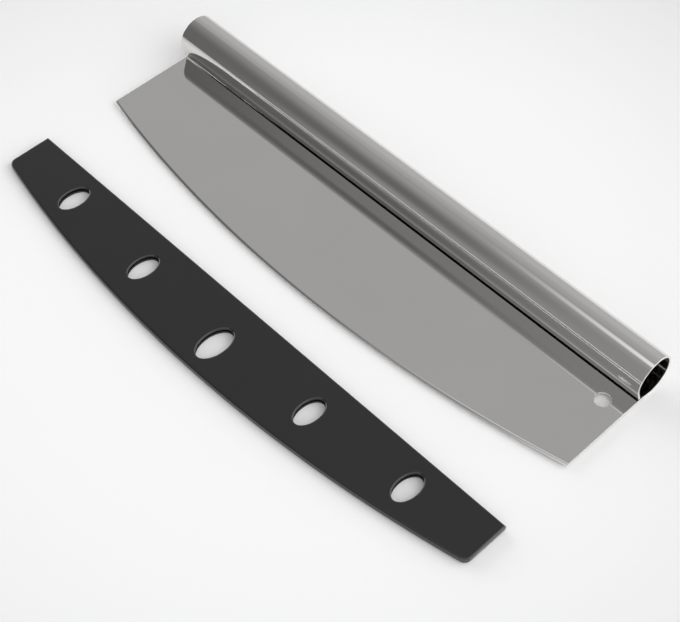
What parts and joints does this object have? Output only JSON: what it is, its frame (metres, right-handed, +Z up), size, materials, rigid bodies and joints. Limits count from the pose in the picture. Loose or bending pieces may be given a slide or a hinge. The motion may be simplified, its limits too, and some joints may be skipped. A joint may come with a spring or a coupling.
{
  "type": "rocking pizza knife",
  "caption": "Rocking pizza knife: a steel sheet with a curved cutting edge, a back rolled into a tube handle and a hang hole, beside its slotted plastic blade guard.",
  "frame": {"origin": "middle of the bounding box on the table, with the guard off and in front of the cutting edge", "axes": "+X along the knife towards the end with the hang hole, +Y from the guard towards the rolled handle, +Z up from the table"},
  "size_m": [0.3552, 0.1724, 0.027],
  "materials": {
    "polished_steel": "stainless steel sheet, mirror polished on both faces and on the cut edges",
    "black_plastic": "black moulded plastic with a fine matt texture and rounded rims"
  },
  "bodies": {
    "knife": {"blade": "polished_steel", "rolled_handle": "polished_steel"},
    "guard": {"guard_upper_wall": "black_plastic", "guard_lower_wall": "black_plastic", "guard_spine": "black_plastic"}
  },
  "joints": [
    {"name": "guard_slide", "type": "slide", "parent": "knife", "child": "guard", "axis": [0, 1, 0], "range_m": [0, 0.07145]}
  ]
}
